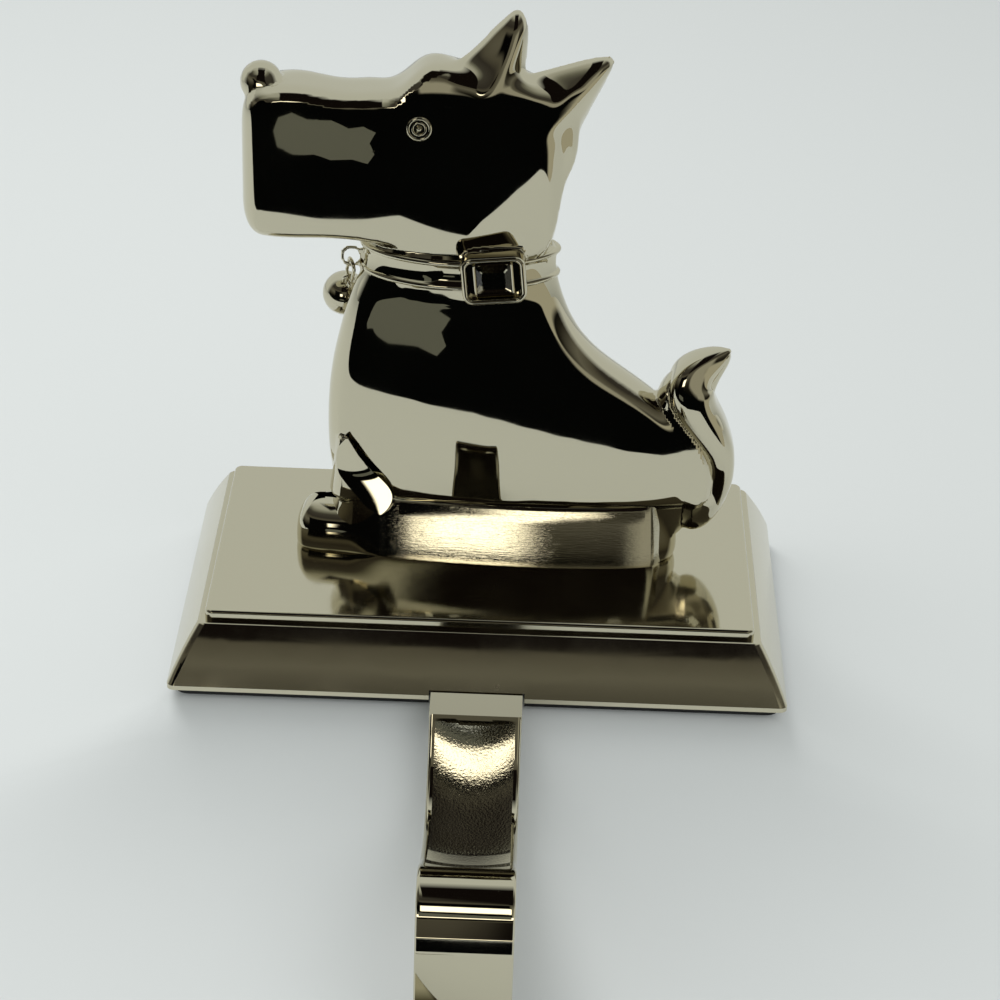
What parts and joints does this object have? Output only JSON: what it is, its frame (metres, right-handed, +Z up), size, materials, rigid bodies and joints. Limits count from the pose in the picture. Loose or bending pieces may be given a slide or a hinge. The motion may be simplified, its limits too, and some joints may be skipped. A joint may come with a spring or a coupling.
{
  "type": "mantel stocking holder",
  "caption": "Polished metal seated dog on a stepped weighted base, with a dished arm and hook that hang a stocking over a mantel's edge.",
  "frame": {"origin": "middle of the pad's underside, the face that lies on the mantel", "axes": "+X along the base towards the dog's tail, +Y to the wall (the hook reaches to -Y), +Z up"},
  "size_m": [0.127, 0.1618, 0.1779],
  "materials": {
    "plated_base": "mirror polished warm nickel plate, lightly hazed",
    "plated_figure": "mirror polished warm nickel plate",
    "plated_arm": "mirror polished warm nickel plate, satin in the dish",
    "plated_links": "polished plated wire",
    "plated_ball": "polished plate",
    "clear_stone": "cut and polished",
    "pad": "matt black foam rubber",
    "ballast": "raw",
    "screws": "zinc plated"
  },
  "bodies": {
    "holder": {"base_shell": "plated_base", "base_pad": "pad", "base_ballast": "ballast", "figure_screws": "screws", "arm_screws": "screws", "hook_arm": "plated_arm", "dog_figure": "plated_figure", "buckle_stone": "clear_stone"},
    "long_link": {"charm_long_link": "plated_links"},
    "short_link": {"charm_short_link": "plated_links"},
    "ball": {"charm_ball": "plated_ball"}
  },
  "joints": [
    {"name": "long_link_swing", "type": "hinge", "parent": "holder", "child": "long_link", "pos_m": [-0.0284, 0, 0.08088], "axis": [1, 0, 0], "range_deg": [0, 40]},
    {"name": "short_link_swing", "type": "hinge", "parent": "long_link", "child": "short_link", "pos_m": [-0.02915, 0.00351, 0.07684], "axis": [1, 0, 0], "range_deg": [0, 20]},
    {"name": "ball_swing", "type": "hinge", "parent": "short_link", "child": "ball", "pos_m": [-0.02945, 0.00491, 0.07523], "axis": [1, 0, 0], "range_deg": [0, 20]}
  ]
}
